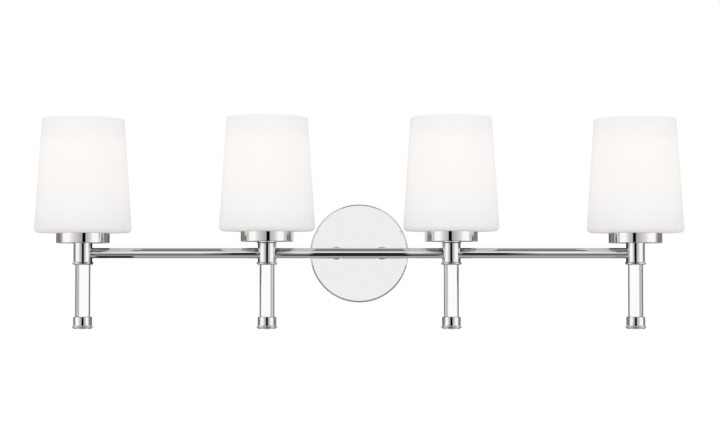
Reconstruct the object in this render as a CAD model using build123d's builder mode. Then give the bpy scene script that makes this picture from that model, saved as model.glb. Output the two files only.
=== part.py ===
from build123d import *
import os
from collections import namedtuple
from math import sqrt

os.makedirs("parts", exist_ok=True)

# Vanity light bar, in millimetres. The origin lies on the wall at the middle of the back plate:
# +X runs along the bar to the right, +Y into the wall and +Z up.

# Layout
LAMP_PITCH = 228.6  # between neighbouring lamp axes
BAR_STANDOFF = 100.0  # wall to the axis of the cross bar
ARM_SPACING = 57.0

# Fits: the gap on each side of a piece
SEAT_FIT = 0.05  # soldered or threaded together
SLIP_FIT = 0.2  # passes through a plain hole
RUN_FIT = 0.35  # turns or slides past its neighbour

# Back plate, a spun pan
PLATE_DIAMETER = 127.0
PLATE_DEPTH = 22.0
PLATE_WALL = 1.2
PLATE_EDGE_RADIUS = 2.0

# Mounting bracket, a bent strap inside the plate
STRAP_WIDTH = 16.0
STRAP_THICKNESS = 1.6
STRAP_BEND_RADIUS = 0.8
TAB_DEPTH = 16.0
TAB_GAP = 0.4  # tab corners to the plate's wall
BOX_SLOT_SPACING = 79.4  # middle of the slots, for box screws from 70 to 89 mm apart
BOX_SLOT_LENGTH = 18.0
BOX_SLOT_WIDTH = 5.0
STRAP_CENTRE_HOLE = 10.0
GROUND_SCREW_PLACE = 17.0
GROUND_SCREW_DIAMETER = 4.0
GROUND_HEAD_DIAMETER = 8.0
GROUND_HEAD_HEIGHT = 2.6
DRIVER_SLOT_WIDTH = 1.2
DRIVER_SLOT_DEPTH = 1.2

# Side screws, turned by hand through the plate's wall into the bracket's tabs
SIDE_SCREW_DEPTH = 10.0  # wall to the screw's axis
SIDE_SCREW_DIAMETER = 4.0
SIDE_SCREW_REACH = 3.0  # past the tab's inner face
SIDE_HEAD_DIAMETER = 8.0
SIDE_HEAD_LENGTH = 5.0
SIDE_HEAD_GRIPS = 18
SIDE_WASHER_DIAMETER = 9.0
SIDE_WASHER_THICKNESS = 0.8
GRIP_RADIUS = 0.45

# Cross bar tubes and the arms that carry them
BAR_DIAMETER = 12.7
BAR_WALL = 1.2
BAR_END_GAP = 0.8  # tube end to the hub's upright bore
ARM_PROUD = 1.65  # past the bar, above and below it
ARM_EDGE_RADIUS = 1.4  # at the end by the bar
ARM_TAP_DEPTH = 14.0
WIRE_HOLE_DIAMETER = 7.0

# Hollow threaded nipples and their lock nuts
NIPPLE_DIAMETER = 10.0
NIPPLE_BORE = 7.0
NIPPLE_PAST_NUT = 1.0
NUT_ACROSS_FLATS = 14.0
NUT_HEIGHT = 3.0

# Hubs, stem rods and end caps
ROD_DIAMETER = 18.4
ROD_VISIBLE = 64.6
ROD_FIT = 0.1
ROD_SEAT_DEPTH = 5.0  # in the hub
CAP_SEAT_DEPTH = 8.0  # in the end cap
HUB_WALL = 2.2  # round the rod
HUB_ABOVE_BAR = 6.0
HUB_WEB = 3.25  # between the bar and the rod
COLLAR_HEIGHT = 2.0  # flared collar on the two middle hubs
BEAD_HEIGHT = 3.8
BEAD_PROUD = 1.2
CAP_HEIGHT = 14.5
CAP_FOOT = 0.5
STUD_DIAMETER = 6.0
STUD_IN_ROD = 4.5
STUD_IN_CAP = 4.0

# Shade cups and shades
CUP_DIAMETER = 65.3
CUP_HEIGHT = 12.7
CUP_WALL = 1.5
CUP_EDGE_RADIUS = 0.7
SHADE_BOTTOM_DIAMETER = 119.6
SHADE_TOP_DIAMETER = 101.0
SHADE_HEIGHT = 141.0
SHADE_WALL = 3.2
SHADE_FLOOR = 4.0
SHADE_CORNER_RADIUS = 5.5
SHADE_RIM_RADIUS = 1.5
SHADE_HOLE_GAP = 1.5  # round the socket's thread

# Lamp sockets, with the rings that clamp the shades
SOCKET_THREAD_DIAMETER = 39.0
SOCKET_BODY_DIAMETER = 33.0
SOCKET_COLLAR_DIAMETER = 35.0
SOCKET_THREAD_BELOW = 2.0  # under the shade's floor
SOCKET_THREAD_ABOVE = 15.0  # over the shade's underside
SOCKET_TOP = 30.0  # over the shade's underside
SOCKET_BORE_DEPTH = 27.0
SOCKET_TAP_DEPTH = 6.0
SHELL_WALL = 0.5
SHELL_HEIGHT = 22.0
TONGUE_DIAMETER = 9.0
TONGUE_THICKNESS = 1.2
RING_DIAMETER = 55.0
RING_HEIGHT = 7.0
RING_GRIPS = 30
RING_GRIP_RADIUS = 1.1
RING_WASHER_THICKNESS = 1.0
RING_WASHER_INSET = 1.5

# Bulbs
BULB_DIAMETER = 60.0
BULB_NECK_DIAMETER = 26.8
BULB_NECK_CURVE = 50.0
BULB_GLASS_WALL = 1.0
BULB_CAP_DIAMETER = 26.2
BULB_CAP_WALL = 0.8
BULB_CAP_HEIGHT = 24.6
BULB_CAP_RIM_PROUD = 0.5
BULB_CAP_RIM_HEIGHT = 2.2
INSULATOR_DIAMETER = 12.0
INSULATOR_HEIGHT = 3.4
CONTACT_DIAMETER = 9.5
CONTACT_HEIGHT = 2.2
CONTACT_EDGE_RADIUS = 1.0

# Worked out from the sizes above
BAR_Y = -BAR_STANDOFF
BAR_RADIUS = BAR_DIAMETER / 2
ARM_RADIUS = BAR_RADIUS + ARM_PROUD
PLATE_RADIUS = PLATE_DIAMETER / 2
PLATE_INNER_RADIUS = PLATE_RADIUS - PLATE_WALL
PLATE_FLOOR_Y = PLATE_WALL - PLATE_DEPTH
TAB_X = sqrt(PLATE_INNER_RADIUS**2 - (STRAP_WIDTH / 2) ** 2) - TAB_GAP
NIPPLE_HOLE_RADIUS = NIPPLE_DIAMETER / 2 + SEAT_FIT
HUB_RADIUS = ROD_DIAMETER / 2 + ROD_FIT + HUB_WALL
HUB_BOTTOM = -(BAR_RADIUS + HUB_WEB + ROD_SEAT_DEPTH)
BEAD_RADIUS = BEAD_HEIGHT / 2
BEAD_CENTRE = HUB_RADIUS + BEAD_PROUD - BEAD_RADIUS
BAR_END = NIPPLE_HOLE_RADIUS + BAR_END_GAP
ROD_TOP = HUB_BOTTOM + ROD_SEAT_DEPTH
CAP_TOP = HUB_BOTTOM - ROD_VISIBLE
CAP_BOTTOM = CAP_TOP - CAP_HEIGHT
ROD_BOTTOM = CAP_TOP - CAP_SEAT_DEPTH
SHELL_INNER_RADIUS = BULB_CAP_DIAMETER / 2 + RUN_FIT
SHELL_RADIUS = SHELL_INNER_RADIUS + SHELL_WALL
SOCKET_FLOOR = SOCKET_TOP - SOCKET_BORE_DEPTH
THREAD_CLEAR_RADIUS = SOCKET_THREAD_DIAMETER / 2 + RUN_FIT
WASHER_TOP = SHADE_FLOOR + RING_WASHER_THICKNESS
BULB_FOOT = SOCKET_FLOOR + TONGUE_THICKNESS
CAP_START = BULB_FOOT + CONTACT_HEIGHT
CAP_END = CAP_START + BULB_CAP_HEIGHT

# The lamps from left to right: where the bar enters each hub, and whether it has a collar
Lamp = namedtuple("Lamp", "number x bar_sides collar")
LAMPS = [
    Lamp(1, -1.5 * LAMP_PITCH, (1,), False),
    Lamp(2, -0.5 * LAMP_PITCH, (-1, 1), True),
    Lamp(3, 0.5 * LAMP_PITCH, (-1, 1), True),
    Lamp(4, 1.5 * LAMP_PITCH, (-1,), False),
]
SIDES = {"left": -1, "right": 1}
LOW_LEFT = (Align.MIN, Align.MIN)


def hub_top(lamp):
    """Height of the hub's top face, where the cup sits."""
    return BAR_RADIUS + HUB_ABOVE_BAR + (COLLAR_HEIGHT if lamp.collar else 0)


def cup_floor(lamp):
    """Height of the floor inside the cup."""
    return hub_top(lamp) + CUP_WALL


def shade_seat(lamp):
    """Height of the cup's rim, where the shade sits."""
    return hub_top(lamp) + CUP_HEIGHT


def section(lamp, height=0):
    """Upright plane through a lamp's axis: local x is the radius, local y the height."""
    return Plane(origin=(lamp.x, BAR_Y, height), x_dir=(1, 0, 0), z_dir=(0, -1, 0))


def level(lamp, height):
    """Level plane at a lamp's axis, facing up."""
    return Plane(origin=(lamp.x, BAR_Y, height), x_dir=(1, 0, 0), z_dir=(0, 0, 1))


def lamp_axis(lamp):
    return Axis((lamp.x, BAR_Y, 0), (0, 0, 1))


def across(x, y, side):
    """Plane square to the bar, facing outwards on that side."""
    return Plane(origin=(x, y, 0), x_dir=(0, 1, 0), z_dir=(side, 0, 0))


def towards_wall(x, y):
    """Plane parallel to the wall, facing it."""
    return Plane(origin=(x, y, 0), x_dir=(1, 0, 0), z_dir=(0, 1, 0))


def write(piece, name):
    piece.part.label = name
    export_step(piece.part, f"parts/{name}.step")


# Back plate: a shallow round pan with holes for the arms and the side screws
def make_back_plate():
    with BuildPart() as plate:
        with BuildSketch(Plane.XY) as outline:
            with BuildLine():
                Polyline(
                    (0, -PLATE_DEPTH),
                    (PLATE_RADIUS, -PLATE_DEPTH),
                    (PLATE_RADIUS, 0),
                    (PLATE_INNER_RADIUS, 0),
                    (PLATE_INNER_RADIUS, PLATE_FLOOR_Y),
                    (0, PLATE_FLOOR_Y),
                    close=True,
                )
            make_face()
            front = outline.vertices().group_by(Axis.X)[-1].sort_by(Axis.Y)[0]
            fillet(front, PLATE_EDGE_RADIUS)
        revolve(axis=Axis.Y)
        for side in SIDES.values():
            with BuildSketch(towards_wall(side * ARM_SPACING / 2, -PLATE_DEPTH)):
                Circle(NIPPLE_DIAMETER / 2 + SLIP_FIT)
            extrude(amount=PLATE_WALL, mode=Mode.SUBTRACT)
            with BuildSketch(across(0, -SIDE_SCREW_DEPTH, side)):
                Circle(SIDE_SCREW_DIAMETER / 2 + RUN_FIT)
            extrude(amount=PLATE_RADIUS, mode=Mode.SUBTRACT)
    write(plate, "back_plate")


# Mounting bracket: a strap on the outlet box with two bent tabs for the side screws
def make_mounting_bracket():
    inner_x = TAB_X - STRAP_THICKNESS
    with BuildPart() as bracket:
        with BuildSketch(Plane.XY) as outline:
            with BuildLine():
                Polyline(
                    (-TAB_X, -TAB_DEPTH),
                    (-TAB_X, 0),
                    (TAB_X, 0),
                    (TAB_X, -TAB_DEPTH),
                    (inner_x, -TAB_DEPTH),
                    (inner_x, -STRAP_THICKNESS),
                    (-inner_x, -STRAP_THICKNESS),
                    (-inner_x, -TAB_DEPTH),
                    close=True,
                )
            make_face()
            fillet(outline.vertices().group_by(Axis.Y)[-1], STRAP_BEND_RADIUS + STRAP_THICKNESS)
            inner_bends = outline.vertices().filter_by_position(
                Axis.Y, -STRAP_THICKNESS - SEAT_FIT, -STRAP_THICKNESS + SEAT_FIT
            )
            fillet(inner_bends, STRAP_BEND_RADIUS)
        extrude(amount=STRAP_WIDTH / 2, both=True)
        with BuildSketch(Plane.XZ):
            Circle(STRAP_CENTRE_HOLE / 2)
            with GridLocations(BOX_SLOT_SPACING, 0, 2, 1):
                SlotOverall(BOX_SLOT_LENGTH, BOX_SLOT_WIDTH)
            with Locations((GROUND_SCREW_PLACE, 0)):
                Circle(GROUND_SCREW_DIAMETER / 2 + SEAT_FIT)
        extrude(amount=STRAP_THICKNESS, mode=Mode.SUBTRACT)
        for side in SIDES.values():
            with BuildSketch(across(0, -SIDE_SCREW_DEPTH, side)):
                Circle(SIDE_SCREW_DIAMETER / 2 + SLIP_FIT)
            extrude(amount=TAB_X, mode=Mode.SUBTRACT)
    write(bracket, "mounting_bracket")


# Ground screw: a slotted pan head screw in the bracket
def make_ground_screw():
    with BuildPart() as screw:
        with BuildSketch(towards_wall(GROUND_SCREW_PLACE, -STRAP_THICKNESS)):
            Circle(GROUND_SCREW_DIAMETER / 2)
        extrude(amount=STRAP_THICKNESS - SLIP_FIT)
        with BuildSketch(towards_wall(GROUND_SCREW_PLACE, -STRAP_THICKNESS)):
            Circle(GROUND_HEAD_DIAMETER / 2)
        extrude(amount=-GROUND_HEAD_HEIGHT)
        front = screw.faces().sort_by(Axis.Y)[0]
        fillet(front.edges(), GROUND_HEAD_HEIGHT / 3)
        head_front = -STRAP_THICKNESS - GROUND_HEAD_HEIGHT
        with BuildSketch(towards_wall(GROUND_SCREW_PLACE, head_front)):
            Rectangle(GROUND_HEAD_DIAMETER, DRIVER_SLOT_WIDTH)
        extrude(amount=DRIVER_SLOT_DEPTH, mode=Mode.SUBTRACT)
    write(screw, "ground_screw")


# Side screw and its washer: a knurled head outside the plate, the thread in the bracket's tab
def make_side_screw(name, side):
    washer_x = PLATE_RADIUS + SEAT_FIT
    head_x = washer_x + SIDE_WASHER_THICKNESS
    tip_x = TAB_X - STRAP_THICKNESS - SIDE_SCREW_REACH
    with BuildPart() as screw:
        with BuildSketch(across(side * tip_x, -SIDE_SCREW_DEPTH, side)):
            Circle(SIDE_SCREW_DIAMETER / 2)
        extrude(amount=head_x - tip_x)
        with BuildSketch(across(side * head_x, -SIDE_SCREW_DEPTH, side)):
            Circle(SIDE_HEAD_DIAMETER / 2)
            with PolarLocations(SIDE_HEAD_DIAMETER / 2, SIDE_HEAD_GRIPS):
                Circle(GRIP_RADIUS, mode=Mode.SUBTRACT)
        extrude(amount=SIDE_HEAD_LENGTH)
    write(screw, f"side_screw_{name}")

    with BuildPart() as washer:
        with BuildSketch(across(side * washer_x, -SIDE_SCREW_DEPTH, side)):
            Circle(SIDE_WASHER_DIAMETER / 2)
            Circle(SIDE_SCREW_DIAMETER / 2 + RUN_FIT, mode=Mode.SUBTRACT)
        extrude(amount=SIDE_WASHER_THICKNESS)
    write(washer, f"side_washer_{name}")


# Arm: a turned post with a hollow end that the bar lies in, tapped for a nipple at the plate
def make_arm(name, side):
    with BuildPart() as arm:
        with BuildSketch(towards_wall(side * ARM_SPACING / 2, BAR_Y)):
            Circle(ARM_RADIUS)
        extrude(amount=BAR_STANDOFF - PLATE_DEPTH)
        fillet(arm.edges().sort_by(Axis.Y)[0], min(ARM_EDGE_RADIUS, ARM_PROUD * 0.85))
        with BuildSketch(towards_wall(side * ARM_SPACING / 2, BAR_Y)):
            Circle(WIRE_HOLE_DIAMETER / 2)
        extrude(amount=BAR_STANDOFF - PLATE_DEPTH, mode=Mode.SUBTRACT)
        with BuildSketch(towards_wall(side * ARM_SPACING / 2, -PLATE_DEPTH)):
            Circle(NIPPLE_HOLE_RADIUS)
        extrude(amount=-ARM_TAP_DEPTH, mode=Mode.SUBTRACT)
        with BuildSketch(across(0, BAR_Y, side)):
            Circle(BAR_RADIUS + SEAT_FIT)
        extrude(amount=ARM_SPACING, mode=Mode.SUBTRACT)
    write(arm, f"arm_{name}")


# Cross bar span: a straight tube from hub to hub; the middle one has wire holes at the arms
def make_bar(name, middle, wire_holes):
    length = LAMP_PITCH - 2 * BAR_END
    with BuildPart() as bar:
        with BuildSketch(across(middle - length / 2, BAR_Y, 1)):
            Circle(BAR_RADIUS)
            Circle(BAR_RADIUS - BAR_WALL, mode=Mode.SUBTRACT)
        extrude(amount=length)
        for place in wire_holes:
            with BuildSketch(towards_wall(place, BAR_Y)):
                Circle(WIRE_HOLE_DIAMETER / 2)
            extrude(amount=BAR_DIAMETER, mode=Mode.SUBTRACT)
    write(bar, f"bar_{name}")


# Hub: a turned body with side sockets for the bar, a nipple bore above and a rod seat below
def make_hub(lamp):
    top = hub_top(lamp)
    bead_height = HUB_BOTTOM + BEAD_RADIUS
    with BuildPart() as hub:
        with BuildSketch(section(lamp)):
            with Locations((0, bead_height)):
                Rectangle(HUB_RADIUS, top - bead_height, align=LOW_LEFT)
            with Locations((0, HUB_BOTTOM)):
                Rectangle(BEAD_CENTRE, BEAD_HEIGHT, align=LOW_LEFT)
            with Locations((BEAD_CENTRE, bead_height)):
                Circle(BEAD_RADIUS)
            if lamp.collar:
                with BuildLine():
                    Polyline(
                        (0, top - COLLAR_HEIGHT),
                        (HUB_RADIUS, top - COLLAR_HEIGHT),
                        (HUB_RADIUS + BEAD_PROUD, top - COLLAR_HEIGHT / 3),
                        (HUB_RADIUS + BEAD_PROUD, top),
                        (0, top),
                        close=True,
                    )
                make_face()
        revolve(axis=lamp_axis(lamp))
        for side in lamp.bar_sides:
            with BuildSketch(across(lamp.x, BAR_Y, side)):
                Circle(BAR_RADIUS + SEAT_FIT)
            extrude(amount=HUB_RADIUS, mode=Mode.SUBTRACT)
        with BuildSketch(level(lamp, 0)):
            Circle(NIPPLE_HOLE_RADIUS)
        extrude(amount=top, mode=Mode.SUBTRACT)
        with BuildSketch(level(lamp, HUB_BOTTOM)):
            Circle(ROD_DIAMETER / 2 + ROD_FIT)
        extrude(amount=ROD_SEAT_DEPTH, mode=Mode.SUBTRACT)
        with BuildSketch(level(lamp, ROD_TOP)):
            Circle(STUD_DIAMETER / 2 + SEAT_FIT)
        extrude(amount=-ROD_TOP, mode=Mode.SUBTRACT)
    write(hub, f"hub_{lamp.number}")


# Stem rod: clear and solid, seated in the hub and the end cap, with a stud hole in each end
def make_stem_rod(lamp):
    with BuildPart() as rod:
        with BuildSketch(level(lamp, ROD_BOTTOM)):
            Circle(ROD_DIAMETER / 2)
        extrude(amount=ROD_TOP - ROD_BOTTOM)
        for end, inwards in ((ROD_TOP, -1), (ROD_BOTTOM, 1)):
            with BuildSketch(level(lamp, end)):
                Circle(STUD_DIAMETER / 2 + SEAT_FIT)
            extrude(amount=inwards * (STUD_IN_ROD + SLIP_FIT), mode=Mode.SUBTRACT)
    write(rod, f"stem_rod_{lamp.number}")


# End cap: a turned cup under the rod, with a bead at its foot
def make_end_cap(lamp):
    bead_height = CAP_BOTTOM + CAP_FOOT + BEAD_RADIUS
    with BuildPart() as cap:
        with BuildSketch(section(lamp)):
            with Locations((0, bead_height)):
                Rectangle(HUB_RADIUS, CAP_TOP - bead_height, align=LOW_LEFT)
            with Locations((0, CAP_BOTTOM)):
                Rectangle(BEAD_CENTRE, BEAD_HEIGHT, align=LOW_LEFT)
            with Locations((BEAD_CENTRE, bead_height)):
                Circle(BEAD_RADIUS)
        revolve(axis=lamp_axis(lamp))
        with BuildSketch(level(lamp, CAP_TOP)):
            Circle(ROD_DIAMETER / 2 + ROD_FIT)
        extrude(amount=-CAP_SEAT_DEPTH, mode=Mode.SUBTRACT)
        with BuildSketch(level(lamp, ROD_BOTTOM)):
            Circle(STUD_DIAMETER / 2 + SEAT_FIT)
        extrude(amount=-(STUD_IN_CAP + SLIP_FIT), mode=Mode.SUBTRACT)
    write(cap, f"end_cap_{lamp.number}")


# Shade cup: a shallow drum, open at the top, with a hole for the nipple
def make_shade_cup(lamp):
    with BuildPart() as cup:
        with BuildSketch(section(lamp, hub_top(lamp))) as outline:
            with BuildLine():
                Polyline(
                    (NIPPLE_DIAMETER / 2 + SLIP_FIT, 0),
                    (CUP_DIAMETER / 2, 0),
                    (CUP_DIAMETER / 2, CUP_HEIGHT),
                    (CUP_DIAMETER / 2 - CUP_WALL, CUP_HEIGHT),
                    (CUP_DIAMETER / 2 - CUP_WALL, CUP_WALL),
                    (NIPPLE_DIAMETER / 2 + SLIP_FIT, CUP_WALL),
                    close=True,
                )
            make_face()
            foot = outline.vertices().group_by(Axis.X)[-1].sort_by(Axis.Y)[0]
            fillet(foot, CUP_EDGE_RADIUS)
        revolve(axis=lamp_axis(lamp))
    write(cup, f"shade_cup_{lamp.number}")


# Shade: a tapered opal glass with a flat holed floor and a rounded open rim
def make_shade(lamp):
    hole_radius = SOCKET_THREAD_DIAMETER / 2 + SHADE_HOLE_GAP
    foot_radius = SHADE_BOTTOM_DIAMETER / 2
    rim_radius = SHADE_TOP_DIAMETER / 2
    taper = (foot_radius - rim_radius) / SHADE_HEIGHT
    with BuildPart() as shade:
        with BuildSketch(section(lamp, shade_seat(lamp))) as outline:
            with BuildLine():
                Polyline(
                    (hole_radius, 0),
                    (foot_radius, 0),
                    (rim_radius, SHADE_HEIGHT),
                    (rim_radius - SHADE_WALL, SHADE_HEIGHT),
                    (foot_radius - SHADE_WALL - taper * SHADE_FLOOR, SHADE_FLOOR),
                    (hole_radius, SHADE_FLOOR),
                    close=True,
                )
            make_face()
            levels = outline.vertices().group_by(Axis.Y)
            foot = levels[0].sort_by(Axis.X)[-1]
            inner_foot = levels[1].sort_by(Axis.X)[-1]
            rim = levels[2]
            fillet(foot, SHADE_CORNER_RADIUS)
            fillet(inner_foot, SHADE_CORNER_RADIUS - SHADE_WALL)
            fillet(rim, min(SHADE_RIM_RADIUS, SHADE_WALL * 0.47))
        revolve(axis=lamp_axis(lamp))
    write(shade, f"shade_{lamp.number}")


# Socket: a glazed body on the nipple, with a threaded waist for the ring and a bore for the bulb
def make_socket(lamp):
    seat = shade_seat(lamp)
    foot = cup_floor(lamp) + NUT_HEIGHT
    with BuildPart() as socket:
        for radius, low, high in (
            (SOCKET_BODY_DIAMETER / 2, foot, seat),
            (SOCKET_THREAD_DIAMETER / 2, seat - SOCKET_THREAD_BELOW, seat + SOCKET_THREAD_ABOVE),
            (SOCKET_COLLAR_DIAMETER / 2, seat + SOCKET_THREAD_ABOVE, seat + SOCKET_TOP),
        ):
            with BuildSketch(level(lamp, low)):
                Circle(radius)
            extrude(amount=high - low)
        with BuildSketch(level(lamp, seat + SOCKET_FLOOR)):
            Circle(SHELL_RADIUS + SEAT_FIT)
        extrude(amount=SOCKET_BORE_DEPTH, mode=Mode.SUBTRACT)
        with BuildSketch(level(lamp, foot)):
            Circle(NIPPLE_HOLE_RADIUS)
        extrude(amount=SOCKET_TAP_DEPTH, mode=Mode.SUBTRACT)
    write(socket, f"socket_{lamp.number}")


# Shade ring and its washer: the ring screws down the socket's waist and clamps the glass
def make_shade_ring(lamp):
    seat = shade_seat(lamp)
    with BuildPart() as washer:
        with BuildSketch(level(lamp, seat + SHADE_FLOOR)):
            Circle(RING_DIAMETER / 2 - RING_WASHER_INSET)
            Circle(THREAD_CLEAR_RADIUS, mode=Mode.SUBTRACT)
        extrude(amount=RING_WASHER_THICKNESS)
    write(washer, f"ring_washer_{lamp.number}")

    with BuildPart() as ring:
        with BuildSketch(level(lamp, seat + WASHER_TOP)):
            Circle(RING_DIAMETER / 2)
            Circle(THREAD_CLEAR_RADIUS, mode=Mode.SUBTRACT)
            with PolarLocations(RING_DIAMETER / 2, RING_GRIPS):
                Circle(RING_GRIP_RADIUS, mode=Mode.SUBTRACT)
        extrude(amount=RING_HEIGHT)
    write(ring, f"shade_ring_{lamp.number}")


# Bulb: a thin glass envelope, a screw cap with its insulator, and a foot contact
def make_bulb(lamp):
    seat = shade_seat(lamp)
    globe = BULB_DIAMETER / 2
    neck = BULB_NECK_DIAMETER / 2
    reach = neck + BULB_NECK_CURVE
    rise = sqrt((globe + BULB_NECK_CURVE) ** 2 - reach**2)
    with BuildPart() as glass:
        with BuildSketch(section(lamp, seat)):
            for inset, mode in ((0, Mode.ADD), (BULB_GLASS_WALL, Mode.SUBTRACT)):
                lean = (globe - inset) / (globe + BULB_NECK_CURVE)
                meeting = (reach * lean, CAP_END + rise * (1 - lean))
                with BuildLine():
                    foot = Line((0, CAP_END), (neck - inset, CAP_END))
                    waist = TangentArc(foot @ 1, meeting, tangent=(0, 1))
                    top = (0, CAP_END + rise + globe - inset)
                    crown = TangentArc(waist @ 1, top, tangent=waist % 1)
                    Line(crown @ 1, foot @ 0)
                make_face(mode=mode)
        revolve(axis=lamp_axis(lamp))
    write(glass, f"bulb_glass_{lamp.number}")

    cap_radius = BULB_CAP_DIAMETER / 2
    hollow_floor = CAP_START + INSULATOR_HEIGHT + BULB_CAP_WALL
    rim_start = CAP_END - BULB_CAP_RIM_HEIGHT
    with BuildPart() as cap:
        with BuildSketch(section(lamp, seat)):
            with BuildLine():
                Polyline(
                    (0, CAP_START),
                    (INSULATOR_DIAMETER / 2, CAP_START),
                    (cap_radius - BULB_CAP_WALL, CAP_START + INSULATOR_HEIGHT),
                    (cap_radius, CAP_START + INSULATOR_HEIGHT + BULB_CAP_WALL),
                    (cap_radius, rim_start - BULB_CAP_RIM_PROUD),
                    (cap_radius + BULB_CAP_RIM_PROUD, rim_start),
                    (cap_radius + BULB_CAP_RIM_PROUD, CAP_END),
                    (cap_radius - BULB_CAP_WALL, CAP_END),
                    (cap_radius - BULB_CAP_WALL, hollow_floor),
                    (0, hollow_floor),
                    close=True,
                )
            make_face()
        revolve(axis=lamp_axis(lamp))
    write(cap, f"bulb_cap_{lamp.number}")

    with BuildPart() as contact:
        with BuildSketch(level(lamp, seat + BULB_FOOT)):
            Circle(CONTACT_DIAMETER / 2)
        extrude(amount=CONTACT_HEIGHT)
        fillet(contact.edges().group_by(Axis.Z)[0], CONTACT_EDGE_RADIUS)
    write(contact, f"bulb_contact_{lamp.number}")


# Lock nuts: one in each cup, and one behind each arm inside the plate
def make_lock_nuts():
    seats = [level(lamp, cup_floor(lamp)) for lamp in LAMPS]
    seats += [towards_wall(side * ARM_SPACING / 2, PLATE_FLOOR_Y) for side in SIDES.values()]
    with BuildPart() as nuts:
        for seat in seats:
            with BuildSketch(seat):
                RegularPolygon(NUT_ACROSS_FLATS / 2, 6, major_radius=False)
                Circle(NIPPLE_HOLE_RADIUS, mode=Mode.SUBTRACT)
            extrude(amount=NUT_HEIGHT)
    write(nuts, "lock_nuts")


# Nipples: hollow threaded tubes from each hub to its socket, and from each arm into the plate
def make_nipples():
    runs = []
    for lamp in LAMPS:
        low = BAR_RADIUS + SLIP_FIT
        high = cup_floor(lamp) + NUT_HEIGHT + SOCKET_TAP_DEPTH - SLIP_FIT
        runs.append((level(lamp, low), high - low))
    for side in SIDES.values():
        low = -PLATE_DEPTH - ARM_TAP_DEPTH + SLIP_FIT
        high = PLATE_FLOOR_Y + NUT_HEIGHT + NIPPLE_PAST_NUT
        runs.append((towards_wall(side * ARM_SPACING / 2, low), high - low))
    with BuildPart() as nipples:
        for start, length in runs:
            with BuildSketch(start):
                Circle(NIPPLE_DIAMETER / 2)
                Circle(NIPPLE_BORE / 2, mode=Mode.SUBTRACT)
            extrude(amount=length)
    write(nipples, "nipples")


# Stem studs: one at each end of every rod
def make_stem_studs():
    with BuildPart() as studs:
        for lamp in LAMPS:
            for low, high in (
                (ROD_TOP - STUD_IN_ROD, ROD_TOP + HUB_WEB),
                (ROD_BOTTOM - STUD_IN_CAP, ROD_BOTTOM + STUD_IN_ROD),
            ):
                with BuildSketch(level(lamp, low)):
                    Circle(STUD_DIAMETER / 2)
                extrude(amount=high - low)
    write(studs, "stem_studs")


# Socket contacts: a screw shell and a centre tongue in each socket
def make_socket_contacts():
    with BuildPart() as contacts:
        for lamp in LAMPS:
            floor = shade_seat(lamp) + SOCKET_FLOOR
            with BuildSketch(level(lamp, floor)):
                Circle(SHELL_RADIUS)
                Circle(SHELL_INNER_RADIUS, mode=Mode.SUBTRACT)
            extrude(amount=SHELL_HEIGHT)
            with BuildSketch(level(lamp, floor)):
                Circle(TONGUE_DIAMETER / 2)
            extrude(amount=TONGUE_THICKNESS)
    write(contacts, "socket_contacts")


make_back_plate()
make_mounting_bracket()
make_ground_screw()
for side_name, side_sign in SIDES.items():
    make_side_screw(side_name, side_sign)
    make_arm(side_name, side_sign)
make_bar("left", -LAMP_PITCH, ())
make_bar("center", 0, (-ARM_SPACING / 2, ARM_SPACING / 2))
make_bar("right", LAMP_PITCH, ())
for each_lamp in LAMPS:
    make_hub(each_lamp)
    make_stem_rod(each_lamp)
    make_end_cap(each_lamp)
    make_shade_cup(each_lamp)
    make_shade(each_lamp)
    make_socket(each_lamp)
    make_shade_ring(each_lamp)
    make_bulb(each_lamp)
make_lock_nuts()
make_nipples()
make_stem_studs()
make_socket_contacts()
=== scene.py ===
from math import cos, pi, radians, sin, sqrt

import bmesh
import bpy
from mathutils import Euler, Matrix, Vector


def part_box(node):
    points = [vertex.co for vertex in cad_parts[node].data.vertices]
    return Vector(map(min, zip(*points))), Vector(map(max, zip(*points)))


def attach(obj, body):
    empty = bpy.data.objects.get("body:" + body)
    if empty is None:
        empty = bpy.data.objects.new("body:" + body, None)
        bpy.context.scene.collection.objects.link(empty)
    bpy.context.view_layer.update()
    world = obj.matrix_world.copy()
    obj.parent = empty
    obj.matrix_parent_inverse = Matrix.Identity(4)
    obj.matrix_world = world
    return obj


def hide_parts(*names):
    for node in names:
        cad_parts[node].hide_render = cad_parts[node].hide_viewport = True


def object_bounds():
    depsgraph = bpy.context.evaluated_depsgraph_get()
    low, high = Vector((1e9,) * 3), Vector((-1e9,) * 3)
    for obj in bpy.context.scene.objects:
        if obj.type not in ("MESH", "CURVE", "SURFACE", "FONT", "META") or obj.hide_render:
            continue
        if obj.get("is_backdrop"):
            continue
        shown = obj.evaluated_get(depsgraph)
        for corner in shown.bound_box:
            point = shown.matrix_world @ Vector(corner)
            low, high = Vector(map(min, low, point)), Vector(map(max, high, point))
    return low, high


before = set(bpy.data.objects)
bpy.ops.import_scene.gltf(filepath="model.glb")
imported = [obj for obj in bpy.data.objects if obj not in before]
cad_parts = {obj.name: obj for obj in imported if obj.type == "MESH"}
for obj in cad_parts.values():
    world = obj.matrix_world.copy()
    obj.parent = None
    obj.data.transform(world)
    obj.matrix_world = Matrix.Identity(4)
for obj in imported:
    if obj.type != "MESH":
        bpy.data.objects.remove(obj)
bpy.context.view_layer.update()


# Back plate: a shallow round pan, spun from sheet steel, polished and chrome plated.
# It covers the outlet box and carries both arms. The buffing wheel leaves faint circles on it.
CHROME = (0.850, 0.852, 0.856, 1)
CHROME_CLEAN = 0.02
CHROME_HAZY = 0.07
HAZE_PATCHES_PER_METRE = 22
HAZE_START, HAZE_FULL = 0.12, 0.42
MARKS_PER_METRE = 900
MARK_BUMP = (0.3, 0.000004)


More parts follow.
